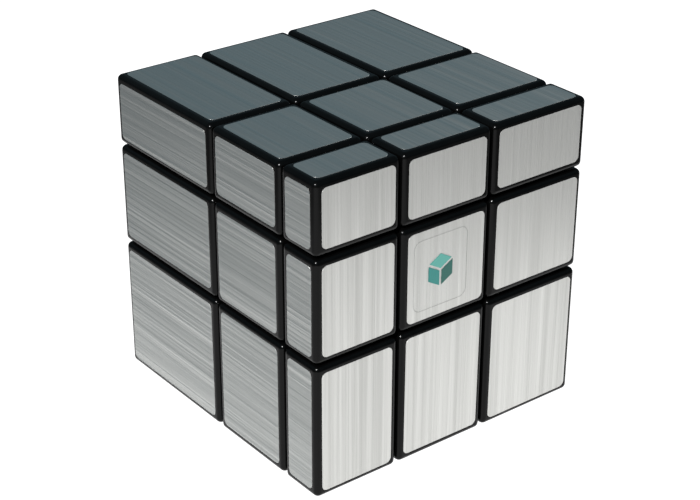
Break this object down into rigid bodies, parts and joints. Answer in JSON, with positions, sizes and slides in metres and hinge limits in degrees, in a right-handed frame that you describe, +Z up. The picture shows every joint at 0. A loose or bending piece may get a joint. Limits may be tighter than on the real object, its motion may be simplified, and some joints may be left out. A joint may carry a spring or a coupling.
{
  "type": "mirror block cube",
  "caption": "Twisty puzzle cube of uneven rectangular blocks with brushed mirror foil faces, held on a sprung off-centre core so that its layers turn.",
  "frame": {"origin": "centre of the closed cube's underside, on the surface it rests on", "axes": "+Z up, towards the 13 mm top layer; -Y towards the face of the 9 mm front layer; -X towards the face of the 17 mm left layer. The core is at (-0.002, -0.010, 0.0345) m"},
  "size_m": [0.057, 0.057, 0.057],
  "materials": {
    "block_plastic": "gloss",
    "inner_plastic": "satin",
    "core_plastic": "satin",
    "steel": "satin",
    "mirror_foil": "satin",
    "label_film": "gloss"
  },
  "bodies": {
    "middle_layer": {"centre_base_back": "inner_plastic", "centre_base_front": "inner_plastic", "centre_base_left": "inner_plastic", "centre_base_right": "inner_plastic", "centre_cap_back": "block_plastic", "centre_cap_front": "block_plastic", "centre_cap_left": "block_plastic", "centre_cap_right": "block_plastic", "core_spider": "core_plastic", "edge_back_left": "block_plastic", "edge_back_right": "block_plastic", "edge_front_left": "block_plastic", "edge_front_right": "block_plastic", "screw_back": "steel", "screw_bottom": "steel", "screw_front": "steel", "screw_left": "steel", "screw_right": "steel", "screw_top": "steel", "spring_back": "steel", "spring_bottom": "steel", "spring_front": "steel", "spring_left": "steel", "spring_right": "steel", "spring_top": "steel", "washer_back": "steel", "washer_bottom": "steel", "washer_front": "steel", "washer_left": "steel", "washer_right": "steel", "washer_top": "steel"},
    "top_layer": {"centre_base_top": "inner_plastic", "centre_cap_top": "block_plastic", "corner_top_back_left": "block_plastic", "corner_top_back_right": "block_plastic", "corner_top_front_left": "block_plastic", "corner_top_front_right": "block_plastic", "edge_top_back": "block_plastic", "edge_top_front": "block_plastic", "edge_top_left": "block_plastic", "edge_top_right": "block_plastic"},
    "bottom_layer": {"centre_base_bottom": "inner_plastic", "centre_cap_bottom": "block_plastic", "corner_bottom_back_left": "block_plastic", "corner_bottom_back_right": "block_plastic", "corner_bottom_front_left": "block_plastic", "corner_bottom_front_right": "block_plastic", "edge_bottom_back": "block_plastic", "edge_bottom_front": "block_plastic", "edge_bottom_left": "block_plastic", "edge_bottom_right": "block_plastic"}
  },
  "joints": [
    {"name": "top_layer_turn", "type": "hinge", "parent": "middle_layer", "child": "top_layer", "pos_m": [-0.002, -0.01, 0.0505], "axis": [0, 0, 1], "continuous": true},
    {"name": "bottom_layer_turn", "type": "hinge", "parent": "middle_layer", "child": "bottom_layer", "pos_m": [-0.002, -0.01, 0.0125], "axis": [0, 0, -1], "continuous": true}
  ]
}
